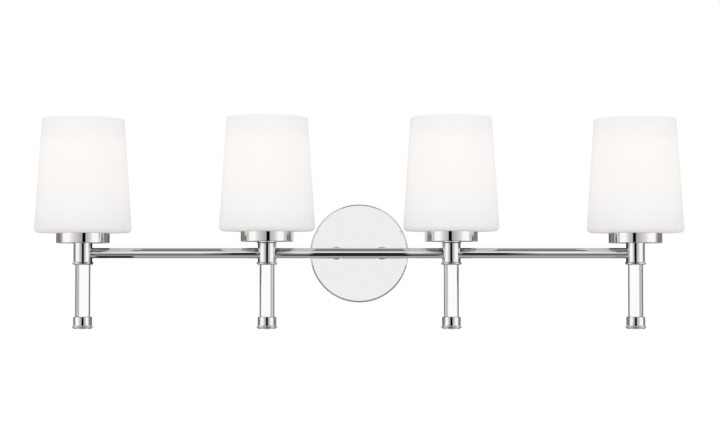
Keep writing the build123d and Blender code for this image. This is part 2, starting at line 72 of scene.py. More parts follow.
def add(tree, kind, inputs=None, **settings):
    """Adds a node; inputs gives its sockets a value or a link from another node's output."""
    made = tree.nodes.new(kind)
    for name, value in settings.items():
        setattr(made, name, value)
    for socket, value in (inputs or {}).items():
        if isinstance(value, bpy.types.NodeSocket):
            tree.links.new(value, made.inputs[socket])
        else:
            made.inputs[socket].default_value = value
    return made


def noise(tree, place, scale, detail=3):
    given = {"Vector": place, "Scale": scale, "Detail": detail}
    return add(tree, "ShaderNodeTexNoise", given).outputs["Fac"]


def ranged(tree, value, start, end, first=0, last=1):
    """Maps a value from start..end to first..last, held at both ends."""
    given = {"Value": value, "From Min": start, "From Max": end, "To Min": first, "To Max": last}
    return add(tree, "ShaderNodeMapRange", given).outputs["Result"]


def sums(tree, operation, first, second):
    """One step of arithmetic on two values."""
    return add(tree, "ShaderNodeMath", {0: first, 1: second}, operation=operation).outputs[0]


def bumped(tree, height, strength, depth):
    """A normal from a height; strength is the part of it that shows, and depth its size in metres."""
    given = {"Height": height, "Strength": strength, "Distance": depth}
    return add(tree, "ShaderNodeBump", given).outputs["Normal"]


def new_group(name, inputs, outputs):
    """A shader node group with named sockets: the tree, what comes in and what goes out."""
    tree = bpy.data.node_groups.new(name, "ShaderNodeTree")
    for socket, kind in inputs.items():
        tree.interface.new_socket(socket, in_out="INPUT", socket_type=kind)
    for socket in outputs:
        tree.interface.new_socket(socket, in_out="OUTPUT", socket_type="NodeSocketFloat")
    return tree, add(tree, "NodeGroupInput").outputs, add(tree, "NodeGroupOutput").inputs


def new_finish(name, **values):
    """A material with plain values on its shader: the material, its node tree and the shader."""
    made = bpy.data.materials.new(name)
    made.use_nodes = True
    shader = made.node_tree.nodes["Principled BSDF"]
    for socket, value in values.items():
        shader.inputs[socket.replace("_", " ")].default_value = value
    return made, made.node_tree, shader


def coordinates(tree, kind="Object"):
    """Where a point lies: in metres, or with Generated in parts of the piece's own box."""
    return add(tree, "ShaderNodeTexCoord").outputs[kind]


def wire(tree, shader, **links):
    """Links values that vary over the surface to the shader's sockets."""
    for socket, value in links.items():
        tree.links.new(value, shader.inputs[socket.replace("_", " ")])


def make_buffing():
    """Polishing haze in soft patches, and fine marks along the way the wheel ran."""
    floats = {"Clean": "NodeSocketFloat", "Hazy": "NodeSocketFloat"}
    vectors = {"Place": "NodeSocketVector", "Marks": "NodeSocketVector"}
    tree, given, out = new_group("buffing", {**vectors, **floats}, ("Roughness", "Height"))
    patches = noise(tree, given["Place"], HAZE_PATCHES_PER_METRE)
    marks = noise(tree, given["Marks"], scale=1, detail=2)
    haze = sums(tree, "MULTIPLY", patches, marks)
    rough = ranged(tree, haze, HAZE_START, HAZE_FULL, given["Clean"], given["Hazy"])
    tree.links.new(rough, out["Roughness"])
    tree.links.new(marks, out["Height"])
    return tree


def polished(name, colour, clean, hazy, marks):
    """Buffed metal; marks(tree, place) gives coordinates that change fastest across the marks."""
    made, tree, shader = new_finish(name, Base_Color=colour, Metallic=1)
    place = coordinates(tree)
    wheel = {"Place": place, "Marks": marks(tree, place), "Clean": clean, "Hazy": hazy}
    finish = add(tree, "ShaderNodeGroup", wheel, node_tree=buffing).outputs
    normal = bumped(tree, finish["Height"], *MARK_BUMP)
    wire(tree, shader, Roughness=finish["Roughness"], Normal=normal)
    return made


def stretched(x, y, z):
    """Marks by their number in a metre along each axis, so long where that is small."""

    def marks(tree, place):
        return add(tree, "ShaderNodeMapping", {"Vector": place, "Scale": (x, y, z)}).outputs["Vector"]

    return marks


def plate_circles(tree, place):
    """Marks in circles round the plate's axis."""
    flat = stretched(MARKS_PER_METRE, 0, MARKS_PER_METRE)(tree, place)
    return add(tree, "ShaderNodeVectorMath", {0: flat}, operation="LENGTH").outputs["Value"]


def dress(material, *names):
    """Gives CAD nodes their finished material."""
    for name in names:
        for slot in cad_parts[name].material_slots:
            slot.material = material


buffing = make_buffing()
dress(polished("plate_chrome", CHROME, CHROME_CLEAN, CHROME_HAZY, plate_circles), "back_plate")


# Mounting bracket and ground screw: a bent strap of zinc plated steel, screwed to the outlet box,
# and the green slotted screw in it for the ground wire, worn where a driver has been.
ZINC_LIGHT = (0.70, 0.70, 0.68, 1)
ZINC_DARK = (0.47, 0.48, 0.49, 1)
ZINC_ROUGHNESS = (0.28, 0.48)
ZINC_BUMP = (0.4, 0.00004)
ZINC_CLOUDS_PER_METRE = 160
SPANGLES_PER_METRE = 420
GREEN = (0.030, 0.210, 0.075, 1)
GREEN_WORN = (0.150, 0.380, 0.200, 1)
GREEN_ROUGHNESS = (0.25, 0.5)
GREEN_BUMP = (0.3, 0.00003)
LACQUER_COAT = 0.3
LACQUER_COAT_ROUGHNESS = 0.15
SCUFFS_PER_METRE = 900
SCUFF_START, SCUFF_FULL = 0.48, 0.66


def mixed(tree, factor, first, second):
    """A colour between two, by a factor."""
    given = {0: factor, 6: first, 7: second}
    return add(tree, "ShaderNodeMix", given, data_type="RGBA").outputs[2]


def spread(tree, cloud, low, high):
    """Maps the middle of a noise's range, where most of it lies, to low..high."""
    return ranged(tree, cloud, 0.3, 0.7, low, high)


def make_zinc():
    made, tree, shader = new_finish("zinc_plate", Metallic=1)
    place = coordinates(tree)
    crystals = add(tree, "ShaderNodeTexVoronoi", {"Vector": place, "Scale": SPANGLES_PER_METRE})
    spangle = add(tree, "ShaderNodeRGBToBW", {"Color": crystals.outputs["Color"]}).outputs[0]
    cloud = noise(tree, place, ZINC_CLOUDS_PER_METRE, detail=4)
    wire(
        tree,
        shader,
        Base_Color=mixed(tree, sums(tree, "MULTIPLY", spangle, cloud), ZINC_DARK, ZINC_LIGHT),
        Roughness=spread(tree, cloud, *ZINC_ROUGHNESS),
        Normal=bumped(tree, cloud, *ZINC_BUMP),
    )
    return made


def make_green_lacquer():
    made, tree, shader = new_finish(
        "green_lacquer", Coat_Weight=LACQUER_COAT, Coat_Roughness=LACQUER_COAT_ROUGHNESS
    )
    worn = noise(tree, coordinates(tree), SCUFFS_PER_METRE, detail=4)
    wire(
        tree,
        shader,
        Base_Color=mixed(tree, ranged(tree, worn, SCUFF_START, SCUFF_FULL), GREEN, GREEN_WORN),
        Roughness=spread(tree, worn, *GREEN_ROUGHNESS),
        Normal=bumped(tree, worn, *GREEN_BUMP),
    )
    return made


zinc = make_zinc()
dress(zinc, "mounting_bracket")
dress(make_green_lacquer(), "ground_screw")


# Side screws: two chromed thumb screws that hold the plate to the bracket's tabs.
# The head is turned and knurled, the shank threaded, and a plain washer lies under the head.
SCREW_PITCH = 0.0007
SCREW_THREAD_DEPTH = 0.0003
SCREW_SHANK = 0.0020
SCREW_TIP = 0.0014
SCREW_TIP_LENGTH = 0.0006
SCREW_HEAD = 0.0040
SCREW_HEAD_LENGTH = 0.0050
SCREW_HEAD_FOOT_EASING = 0.0003
SCREW_HEAD_TOP_EASING = 0.0005
DIMPLE_RIM = 0.0022
DIMPLE_FLOOR = 0.0020
DIMPLE_DEPTH = 0.0003
DIMPLE_EASING = 0.0001
KNURLS = 18
KNURL_DEPTH = 0.0004
KNURL_INNER = 0.0030
KNURL_NARROWING = 6
KNURL_FADING = 8
STEPS_PER_KNURL = 8
SCREW_HAZY = 0.1
SCREW_MARKS_ROUND = 60
EASING_STEPS = 4
RUNGS_PER_TURN = 8
AT_CREST = 0.999
SHARP_FROM = radians(35)


def eased(*corners):
    """A closed outline of (radius, height, easing) corners; each easing rounds its corner."""
    points = []
    for before, corner, after in zip(corners[-1:] + corners[:-1], corners, corners[1:] + corners[:1]):
        here = Vector(corner[:2])
        if corner[2] == 0:
            points.append(tuple(here))
            continue
        start = here + (Vector(before[:2]) - here).normalized() * corner[2]
        end = here + (Vector(after[:2]) - here).normalized() * corner[2]
        for step in range(EASING_STEPS + 1):
            part = step / EASING_STEPS
            points.append(tuple(start.lerp(here, part).lerp(here.lerp(end, part), part)))
    return points


def rungs(radius, low, high, pitch):
    """Corners up a threaded length, RUNGS_PER_TURN to each turn of the thread."""
    count = max(2, round(abs(high - low) / pitch * RUNGS_PER_TURN))
    return [(radius, low + (high - low) * step / count, 0) for step in range(count + 1)]


def thread(low, high, crest, pitch, depth):
    """The shape of a right-hand thread, whose grooves run out at both ends."""

    def shape(angle, radius, height):
        if radius < crest * AT_CREST or not low < height < high:
            return radius
        fade = min(1, (height - low) / pitch, (high - height) / pitch)
        return radius - depth * fade * (0.5 - 0.5 * cos(2 * pi * height / pitch - angle))

    return shape


def turn(mesh, outline, place, steps, shape=None):
    """Adds an outline, turned about the Z axis of its place; shape gives each point its own radius."""
    rings = []
    for radius, height in outline:
        if radius == 0:
            rings.append([mesh.verts.new(place @ Vector((0, 0, height)))] * steps)
            continue
        ring = []
        for step in range(steps):
            angle = 2 * pi * step / steps
            reach = shape(angle, radius, height) if shape else radius
            ring.append(mesh.verts.new(place @ Vector((reach * cos(angle), reach * sin(angle), height))))
        rings.append(ring)
    for lower, upper in zip(rings, rings[1:] + rings[:1]):
        for step in range(steps):
            corners = dict.fromkeys((lower[step - 1], lower[step], upper[step], upper[step - 1]))
            if len(corners) > 2:
                mesh.faces.new(corners)


def fit(mesh, name, origin, body, slot, nodes, *materials):
    """Makes the mesh a piece at its origin that rides on a body and stands for its CAD nodes."""
    bmesh.ops.recalc_face_normals(mesh, faces=mesh.faces)
    data = bpy.data.meshes.new(name)
    mesh.to_mesh(data)
    mesh.free()
    data.shade_smooth()
    data.set_sharp_from_angle(angle=SHARP_FROM)
    for material in materials:
        data.materials.append(material)
    made = bpy.data.objects.new(name, data)
    made.location = origin
    bpy.context.scene.collection.objects.link(made)
    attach(made, body)
    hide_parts(*nodes)


def middle(node):
    """The middle of a CAD node's box."""
    low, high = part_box(node)
    return (low + high) / 2


def side_screw(side, outwards):
    """A thumb screw from its tip to the dimple in its head; outwards is 1 towards +X or -1."""
    node = f"side_screw_{side}"
    low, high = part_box(node)
    length = high.x - low.x
    shank_end = length - SCREW_HEAD_LENGTH
    threads = thread(0, shank_end, SCREW_SHANK, SCREW_PITCH, SCREW_THREAD_DEPTH)

    def shape(angle, radius, height):
        if height > shank_end and radius > KNURL_INNER:
            groove = abs(sin(angle * KNURLS / 2)) ** KNURL_NARROWING
            return radius - KNURL_DEPTH * groove * (radius / SCREW_HEAD) ** KNURL_FADING
        return threads(angle, radius, height)

    outline = eased(
        (0, 0, 0),
        (SCREW_TIP, 0, 0),
        *rungs(SCREW_SHANK, SCREW_TIP_LENGTH, shank_end, SCREW_PITCH),
        (SCREW_HEAD, shank_end, SCREW_HEAD_FOOT_EASING),
        (SCREW_HEAD, length, SCREW_HEAD_TOP_EASING),
        (DIMPLE_RIM, length, DIMPLE_EASING),
        (DIMPLE_FLOOR, length - DIMPLE_DEPTH, DIMPLE_EASING),
        (0, length - DIMPLE_DEPTH, 0),
    )
    mesh = bmesh.new()
    turn(mesh, outline, Matrix.Rotation(outwards * pi / 2, 4, "Y"), KNURLS * STEPS_PER_KNURL, shape)
    tip = Vector((low.x if outwards > 0 else high.x, middle(node).y, middle(node).z))
    fit(mesh, f"thumb_screw_{side}", tip, f"side_{side}", "chrome", [node], screw_chrome)


screw_marks = stretched(MARKS_PER_METRE, SCREW_MARKS_ROUND, SCREW_MARKS_ROUND)
screw_chrome = polished("screw_chrome", CHROME, CHROME_CLEAN, SCREW_HAZY, screw_marks)
side_screw("left", -1)
side_screw("right", 1)
dress(screw_chrome, "side_washer_left", "side_washer_right")


# Arms: two turned brass posts, chrome plated, screwed to the plate from behind.
# The front end of each is milled hollow, and the bar is soldered into it.
MARKS_ROUND = 25
arm_marks = stretched(MARKS_ROUND, MARKS_PER_METRE, MARKS_ROUND)
dress(polished("arm_chrome", CHROME, CHROME_CLEAN, CHROME_HAZY, arm_marks), "arm_left", "arm_right")


# Cross bar: three lengths of drawn tube, polished along their length and chrome plated,
# soldered into the hubs at their ends.
BARS = ("bar_left", "bar_center", "bar_right")
BAR_MARKS_ALONG = 18
bar_marks = stretched(BAR_MARKS_ALONG, MARKS_PER_METRE, MARKS_PER_METRE)
dress(polished("bar_chrome", CHROME, CHROME_CLEAN, CHROME_HAZY, bar_marks), *BARS)


# Hubs, end caps and their studs: turned brass, chrome plated, with rolled beads.
# A zinc plated stud at each end holds the rod between hub and cap.
LAMPS = (1, 2, 3, 4)
turned_marks = stretched(MARKS_ROUND, MARKS_ROUND, MARKS_PER_METRE)
turned_chrome = polished("turned_chrome", CHROME, CHROME_CLEAN, CHROME_HAZY, turned_marks)
for lamp in LAMPS:
    dress(turned_chrome, f"hub_{lamp}", f"end_cap_{lamp}")
dress(zinc, "stem_studs")


# Stem rods: solid clear acrylic, sawn from extruded rod and polished.
# Faint draw lines run along them, and a painted shade darkens their edges, where they bend the light most.
ACRYLIC = (0.958, 0.962, 0.960, 1)
ACRYLIC_PAINTED_SHADE = (0.040, 0.041, 0.041, 1)
ACRYLIC_PAINTED_SHADE_START, ACRYLIC_PAINTED_SHADE_FULL = 0.32, 0.46
ACRYLIC_IOR = 1.49
ACRYLIC_ROUGHNESS = (0, 0.02)
ACRYLIC_BUMP = (0.15, 0.000004)
DRAW_LINES_PER_METRE = 500
DRAW_LINES_ALONG = 6
DRAW_LINES_START, DRAW_LINES_FULL = 0.35, 0.75


def make_acrylic():
    made, tree, shader = new_finish("clear_acrylic", IOR=ACRYLIC_IOR, Transmission_Weight=1)
    drawn = stretched(DRAW_LINES_PER_METRE, DRAW_LINES_PER_METRE, DRAW_LINES_ALONG)
    lines = noise(tree, drawn(tree, coordinates(tree)), scale=1, detail=2)
    facing = add(tree, "ShaderNodeLayerWeight", {"Blend": 0.5}).outputs["Facing"]
    # Painted shade: the colour turns dark where the rod is seen edge-on.
    edge = ranged(tree, facing, ACRYLIC_PAINTED_SHADE_START, ACRYLIC_PAINTED_SHADE_FULL)
    wire(
        tree,
        shader,
        Base_Color=mixed(tree, edge, ACRYLIC, ACRYLIC_PAINTED_SHADE),
        Roughness=ranged(tree, lines, DRAW_LINES_START, DRAW_LINES_FULL, *ACRYLIC_ROUGHNESS),
        Normal=bumped(tree, lines, *ACRYLIC_BUMP),
    )
    return made


acrylic = make_acrylic()
for lamp in LAMPS:
    dress(acrylic, f"stem_rod_{lamp}")


# Shade cups: shallow drums, drawn from sheet brass, buffed in the lathe and chrome plated.
# The nipple's lock nut holds each one down on its hub.
for lamp in LAMPS:
    dress(turned_chrome, f"shade_cup_{lamp}")


# Nipples and lock nuts: hollow threaded tubes of zinc plated steel that carry the wires,
# and thin hexagon nuts on them, in the cups and behind the plate.
NIPPLE = 0.0050
NIPPLE_BORE = 0.0035
NIPPLE_PITCH = 0.0010
NIPPLE_THREAD_DEPTH = 0.0004
NIPPLE_LOW = 0.00655
NIPPLE_IN_SOCKET = 0.0058
NIPPLE_IN_ARM = 0.0138
NIPPLE_BEHIND_PLATE = 0.0052
NIPPLE_STEPS = 40
NUT_FLAT = 0.0070
NUT_CORNER = NUT_FLAT / cos(pi / 6)
NUT_CHAMFER = 0.0006
NUT_FACE = 0.00672
NUT_BORE = 0.00505
NUT_MOUTH = 0.005353
NUT_LEAD_IN = 0.0003
NUT_HEIGHT = 0.0030
NUT_STEPS = 72
CUP_FLOOR = 0.0015
PLATE_SHEET = 0.0012


def nipple(mesh, place, length):
    """A hollow tube, threaded along its whole length."""
    outline = eased(
        (NIPPLE_BORE, 0, 0),
        *rungs(NIPPLE, 0, length, NIPPLE_PITCH),
        (NIPPLE_BORE, length, 0),
    )
    threads = thread(0, length, NIPPLE, NIPPLE_PITCH, NIPPLE_THREAD_DEPTH)
    turn(mesh, outline, place, NIPPLE_STEPS, threads)


def lock_nut(mesh, place):
    """A hexagon nut with chamfered corners and a lead-in at each end of its bore."""

    def hexagon(angle, radius, height):
        flat = NUT_FLAT / cos((angle + pi / 6) % (pi / 3) - pi / 6)
        return min(radius, flat) if radius > NUT_MOUTH else radius

    outline = eased(
        (NUT_BORE, NUT_LEAD_IN, 0),
        (NUT_MOUTH, 0, 0),
        (NUT_FACE, 0, 0),
        (NUT_CORNER, NUT_CHAMFER, 0),
        (NUT_CORNER, NUT_HEIGHT - NUT_CHAMFER, 0),
        (NUT_FACE, NUT_HEIGHT, 0),
        (NUT_MOUTH, NUT_HEIGHT, 0),
        (NUT_BORE, NUT_HEIGHT - NUT_LEAD_IN, 0),
    )
    turn(mesh, outline, place, NUT_STEPS, hexagon)


nipples, nuts = bmesh.new(), bmesh.new()
for lamp in LAMPS:
    axis = middle(f"hub_{lamp}")
    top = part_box(f"socket_{lamp}")[0].z + NIPPLE_IN_SOCKET
    nipple(nipples, Matrix.Translation((axis.x, axis.y, NIPPLE_LOW)), top - NIPPLE_LOW)
    cup_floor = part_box(f"shade_cup_{lamp}")[0].z + CUP_FLOOR
    lock_nut(nuts, Matrix.Translation((axis.x, axis.y, cup_floor)))
for side in ("left", "right"):
    axis = middle(f"arm_{side}")
    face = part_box(f"arm_{side}")[1].y
    to_wall = Matrix.Rotation(-pi / 2, 4, "X")
    start = Matrix.Translation((axis.x, face - NIPPLE_IN_ARM, axis.z)) @ to_wall
    nipple(nipples, start, NIPPLE_IN_ARM + NIPPLE_BEHIND_PLATE)
    lock_nut(nuts, Matrix.Translation((axis.x, face + PLATE_SHEET, axis.z)) @ to_wall)
fit(nipples, "threaded_nipples", (0, 0, 0), "fixture", "zinc_steel", ["nipples"], zinc)
fit(nuts, "hexagon_nuts", (0, 0, 0), "fixture", "zinc_steel", ["lock_nuts"], zinc)


# Sockets and their contacts: pressed porcelain, white glazed, with a coarse thread round the waist
# for the shade's ring. A brass screw shell and a brass tongue sit in the bore.
PORCELAIN = (0.86, 0.85, 0.81, 1)
PORCELAIN_SPECK = (0.62, 0.57, 0.50, 1)
SPECKS_PER_METRE = 1500
SPECK_START, SPECK_FULL, SPECK_DENSITY = 0.70, 0.76, 0.6
GLAZE_WAVES_PER_METRE = 120
GLAZE_ROUGHNESS = (0.14, 0.28)
GLAZE_BUMP = (0.25, 0.0001)
GLAZE_COAT = 0.6
GLAZE_COAT_ROUGHNESS = 0.06
SOCKET_BODY = 0.0165
SOCKET_WAIST = 0.0195
SOCKET_COLLAR = 0.0175
SOCKET_BORE = 0.0140
SOCKET_TAP = 0.00505
SOCKET_TAP_DEPTH = 0.0060
WAIST_LOW = 0.0062
WAIST_HIGH = 0.0232
BORE_FLOOR = 0.0112
WAIST_PITCH = 0.0025
WAIST_THREAD_DEPTH = 0.0009
WAIST_EASING = 0.0004
BORE_EASING = 0.0005
MOUTH_EASING = 0.0008
COLLAR_EASING = 0.0010
SOCKET_FOOT_EASING = 0.0008
SOCKET_TAP_EASING = 0.0003
SOCKET_STEPS = 80
BRASS = (0.72, 0.53, 0.24, 1)
BRASS_TARNISHED = (0.48, 0.32, 0.13, 1)
BRASS_ROUGHNESS = (0.18, 0.42)
BRASS_BUMP = (0.2, 0.00003)
TARNISH_PER_METRE = 240
TARNISH_START, TARNISH_FULL = 0.45, 0.75


def make_porcelain():
    made, tree, shader = new_finish(
        "glazed_porcelain", Coat_Weight=GLAZE_COAT, Coat_Roughness=GLAZE_COAT_ROUGHNESS
    )
    place = coordinates(tree)
    grit = noise(tree, place, SPECKS_PER_METRE, detail=2)
    specks = ranged(tree, grit, SPECK_START, SPECK_FULL, 0, SPECK_DENSITY)
    glaze = noise(tree, place, GLAZE_WAVES_PER_METRE)
    wire(
        tree,
        shader,
        Base_Color=mixed(tree, specks, PORCELAIN, PORCELAIN_SPECK),
        Roughness=spread(tree, glaze, *GLAZE_ROUGHNESS),
        Normal=bumped(tree, glaze, *GLAZE_BUMP),
    )
    return made


def make_brass():
    made, tree, shader = new_finish("bare_brass", Metallic=1)
    tarnish = noise(tree, coordinates(tree), TARNISH_PER_METRE, detail=5)
    dulled = ranged(tree, tarnish, TARNISH_START, TARNISH_FULL)
    wire(
        tree,
        shader,
        Base_Color=mixed(tree, dulled, BRASS, BRASS_TARNISHED),
        Roughness=spread(tree, tarnish, *BRASS_ROUGHNESS),
        Normal=bumped(tree, tarnish, *BRASS_BUMP),
    )
    return made


def socket(lamp):
    """A socket from its bore's floor, up over the mouth, and down to the tapped hole in its foot."""
    node = f"socket_{lamp}"
    low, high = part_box(node)
    height = high.z - low.z
    outline = eased(
        (0, BORE_FLOOR, 0),
        (SOCKET_BORE, BORE_FLOOR, BORE_EASING),
        (SOCKET_BORE, height, MOUTH_EASING),
        (SOCKET_COLLAR, height, COLLAR_EASING),
        (SOCKET_COLLAR, WAIST_HIGH, WAIST_EASING),
        *rungs(SOCKET_WAIST, WAIST_HIGH, WAIST_LOW, WAIST_PITCH),
        (SOCKET_BODY, WAIST_LOW, WAIST_EASING),
        (SOCKET_BODY, 0, SOCKET_FOOT_EASING),
        (SOCKET_TAP, 0, SOCKET_TAP_EASING),
        (SOCKET_TAP, SOCKET_TAP_DEPTH, 0),
        (0, SOCKET_TAP_DEPTH, 0),
    )
    mesh = bmesh.new()
    waist = thread(WAIST_LOW, WAIST_HIGH, SOCKET_WAIST, WAIST_PITCH, WAIST_THREAD_DEPTH)
    turn(mesh, outline, Matrix(), SOCKET_STEPS, waist)
    foot = Vector((middle(node).x, middle(node).y, low.z))
    fit(mesh, f"porcelain_socket_{lamp}", foot, "fixture", "socket_ceramic", [node], porcelain)


porcelain, brass = make_porcelain(), make_brass()
for lamp in LAMPS:
    socket(lamp)
dress(brass, "socket_contacts")


# Shades: blown opal glass, tapered, with a rounded open rim and a ground hole in the floor.
# The glass is white all through with a satin skin, and the bulb's light through it is a painted glow,
# brightest above mid height, dimmer at the rim, warm at the very foot, and weak on the inner wall.
OPAL = (0.860, 0.858, 0.854, 1)
OPAL_SHINE = 0.08
OPAL_ROUGHNESS = (0.42, 0.52)
OPAL_BUMP = (0.1, 0.0001)
SKIN_CLOUDS_PER_METRE = 60
OPAL_PAINTED_GLOW = (
    (0.000, (0.140, 0.090, 0.055, 1)),
    (0.012, (0.125, 0.110, 0.102, 1)),
    (0.20, (0.180, 0.177, 0.175, 1)),
    (0.45, (0.230, 0.200, 0.185, 1)),
    (0.75, (0.242, 0.210, 0.192, 1)),
    (0.97, (0.160, 0.160, 0.158, 1)),
)
OPAL_PAINTED_GLOW_DRIFT = 0.02
OPAL_PAINTED_GLOW_INSIDE = (0.055, 0.049, 0.042, 1)
INNER_WALL, OUTER_WALL = -0.5, -0.1


def ramp(tree, factor, stops):
    """A smooth run of colours, each at its own place from 0 to 1."""
    made = add(tree, "ShaderNodeValToRGB", {"Fac": factor})
    band = made.color_ramp
    for place, colour in stops[2:]:
        band.elements.new(place).color = colour
    for element, (place, colour) in zip(band.elements, stops):
        element.position, element.color = place, colour
    return made.outputs["Color"]


def height_in(tree):
    """How far up its own box a point lies, from 0 to 1."""
    split = add(tree, "ShaderNodeSeparateXYZ", {"Vector": coordinates(tree, "Generated")})
    return split.outputs["Z"]


def outside(tree):
    """1 on the outer face, rim and floor of a turned piece, 0 on the wall that looks at its axis."""
    centred = {"Vector": coordinates(tree, "Generated"), "Scale": (2, 2, 0), "Location": (-1, -1, 0)}
    reach = add(tree, "ShaderNodeMapping", centred).outputs["Vector"]
    given = {0: reach, 1: coordinates(tree, "Normal")}
    facing = add(tree, "ShaderNodeVectorMath", given, operation="DOT_PRODUCT").outputs["Value"]
    return ranged(tree, facing, INNER_WALL, OUTER_WALL)


def make_opal():
    made, tree, shader = new_finish(
        "opal_glass", Base_Color=OPAL, Specular_IOR_Level=OPAL_SHINE, Emission_Strength=1
    )
    skin = noise(tree, coordinates(tree), SKIN_CLOUDS_PER_METRE, detail=4)
    # The painted glow: set by height, drifting a little with the skin, and weaker on the inner wall.
    drift = spread(tree, skin, -OPAL_PAINTED_GLOW_DRIFT, OPAL_PAINTED_GLOW_DRIFT)
    glow = ramp(tree, sums(tree, "ADD", height_in(tree), drift), OPAL_PAINTED_GLOW)
    wire(
        tree,
        shader,
        Roughness=spread(tree, skin, *OPAL_ROUGHNESS),
        Normal=bumped(tree, skin, *OPAL_BUMP),
        Emission_Color=mixed(tree, outside(tree), OPAL_PAINTED_GLOW_INSIDE, glow),
    )
    return made


opal = make_opal()
for lamp in LAMPS:
    dress(opal, f"shade_{lamp}")


# Shade rings and washers: a ring turned from aluminium bar, with finger grips round it,
# screws down the socket's waist and clamps the glass on a soft silicone washer.
RING_OUTER = 0.0275
RING_BORE = 0.01985
RING_HEIGHT = 0.0070
RING_FOOT_EASING = 0.0006
RING_TOP_EASING = 0.0008
RING_BORE_FOOT_EASING = 0.0004
RING_BORE_TOP_EASING = 0.0006
RING_GRIPS = 30
RING_GRIP = 0.0011
GRIPS_INNER = 0.02475
STEPS_PER_GRIP = 12
ALUMINIUM = (0.80, 0.80, 0.79, 1)
ALUMINIUM_CLEAN = 0.22
ALUMINIUM_HAZY = 0.38
RING_CIRCLES_PER_METRE = 1400
SILICONE = (0.74, 0.73, 0.70, 1)
SILICONE_DUSTY = (0.60, 0.59, 0.56, 1)
SILICONE_ROUGHNESS = 0.6
SILICONE_BUMP = (0.3, 0.00005)
DUST_PER_METRE = 500
DUST_START, DUST_FULL = 0.4, 0.7


def ring_circles(tree, place):
    """Marks in circles round the ring's axis, on its faces and up its wall."""
    flat = stretched(RING_CIRCLES_PER_METRE, RING_CIRCLES_PER_METRE, 0)(tree, place)
    reach = add(tree, "ShaderNodeVectorMath", {0: flat}, operation="LENGTH").outputs["Value"]
    level = stretched(0, 0, RING_CIRCLES_PER_METRE)(tree, place)
    return add(tree, "ShaderNodeVectorMath", {0: level, 1: reach}, operation="ADD").outputs["Vector"]


def make_silicone():
    made, tree, shader = new_finish("silicone", Roughness=SILICONE_ROUGHNESS)
    dust = noise(tree, coordinates(tree), DUST_PER_METRE, detail=4)
    wire(
        tree,
        shader,
        Base_Color=mixed(tree, ranged(tree, dust, DUST_START, DUST_FULL), SILICONE, SILICONE_DUSTY),
        Normal=bumped(tree, dust, *SILICONE_BUMP),
    )
    return made


def shade_ring(lamp):
    """A flat ring with round finger grips cut into its outer wall."""
    node = f"shade_ring_{lamp}"

    def grips(angle, radius, height):
        across = ((angle * RING_GRIPS / (2 * pi) + 0.5) % 1 - 0.5) * 2 * pi / RING_GRIPS * RING_OUTER
        if radius < GRIPS_INNER or abs(across) > RING_GRIP:
            return radius
        return min(radius, RING_OUTER - sqrt(RING_GRIP**2 - across**2))

    outline = eased(
        (RING_BORE, 0, RING_BORE_FOOT_EASING),
        (RING_OUTER, 0, RING_FOOT_EASING),
        (RING_OUTER, RING_HEIGHT, RING_TOP_EASING),
        (RING_BORE, RING_HEIGHT, RING_BORE_TOP_EASING),
    )
    mesh = bmesh.new()
    turn(mesh, outline, Matrix(), RING_GRIPS * STEPS_PER_GRIP, grips)
    foot = Vector((middle(node).x, middle(node).y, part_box(node)[0].z))
    fit(mesh, f"grip_ring_{lamp}", foot, f"ring_{lamp}", "ring_aluminium", [node], aluminium)


aluminium = polished("turned_aluminium", ALUMINIUM, ALUMINIUM_CLEAN, ALUMINIUM_HAZY, ring_circles)
silicone = make_silicone()
for lamp in LAMPS:
    shade_ring(lamp)
    dress(silicone, f"ring_washer_{lamp}")


# Bulbs: a frosted glass envelope that glows warm, cemented into a rolled screw cap,
# with a black glass insulator and a brass foot contact under it.
BULB_GLASS = (0.55, 0.53, 0.49, 1)
BULB_GLOW = (
    (0.00, (0.55, 0.46, 0.34, 1)),
    (0.30, (0.95, 0.86, 0.70, 1)),
    (0.60, (1.00, 0.94, 0.83, 1)),
    (1.00, (1.00, 0.95, 0.86, 1)),
)
BULB_GLOW_STRENGTH = 0.5
GLASS_IOR = 1.5
FROST_PER_METRE = 900
FROST_ROUGHNESS = (0.38, 0.52)
FROST_BUMP = (0.2, 0.00003)
CAP_RADIUS = 0.0131
CAP_SHEET = 0.0008
CAP_RIM = 0.0136
CAP_RIM_HEIGHT = 0.0022
CAP_RIM_FOOT_EASING = 0.0004
CAP_RIM_TOP_EASING = 0.0003
CAP_NECK = 0.0005
CAP_PITCH = 0.003629
CAP_THREAD_DEPTH = 0.0010
CAP_STEPS = 72
CAP_METAL = (0.76, 0.76, 0.74, 1)
CAP_CLEAN = 0.16
CAP_HAZY = 0.34
CAP_MARKS_PER_METRE = 700
CAP_MARKS_ROUND = 60
INSULATOR = 0.0060
INSULATOR_HEIGHT = 0.0034
INSULATOR_EASING = 0.0005
INSULATOR_BLACK = (0.012, 0.011, 0.012, 1)
INSULATOR_GREY = (0.050, 0.045, 0.050, 1)
INSULATOR_ROUGHNESS = (0.08, 0.25)
SWIRLS_PER_METRE = 400


def make_bulb_glass():
    made, tree, shader = new_finish(
        "frosted_bulb", Base_Color=BULB_GLASS, IOR=GLASS_IOR, Emission_Strength=BULB_GLOW_STRENGTH
    )
    frost = noise(tree, coordinates(tree), FROST_PER_METRE, detail=4)
    wire(
        tree,
        shader,
        Roughness=spread(tree, frost, *FROST_ROUGHNESS),
        Normal=bumped(tree, frost, *FROST_BUMP),
        Emission_Color=ramp(tree, height_in(tree), BULB_GLOW),
    )
    return made


def make_insulator():
    made, tree, shader = new_finish("insulator_glass", IOR=GLASS_IOR)
    swirl = noise(tree, coordinates(tree), SWIRLS_PER_METRE, detail=4)
    wire(
        tree,
        shader,
        Base_Color=mixed(tree, swirl, INSULATOR_BLACK, INSULATOR_GREY),
        Roughness=spread(tree, swirl, *INSULATOR_ROUGHNESS),
    )
    return made


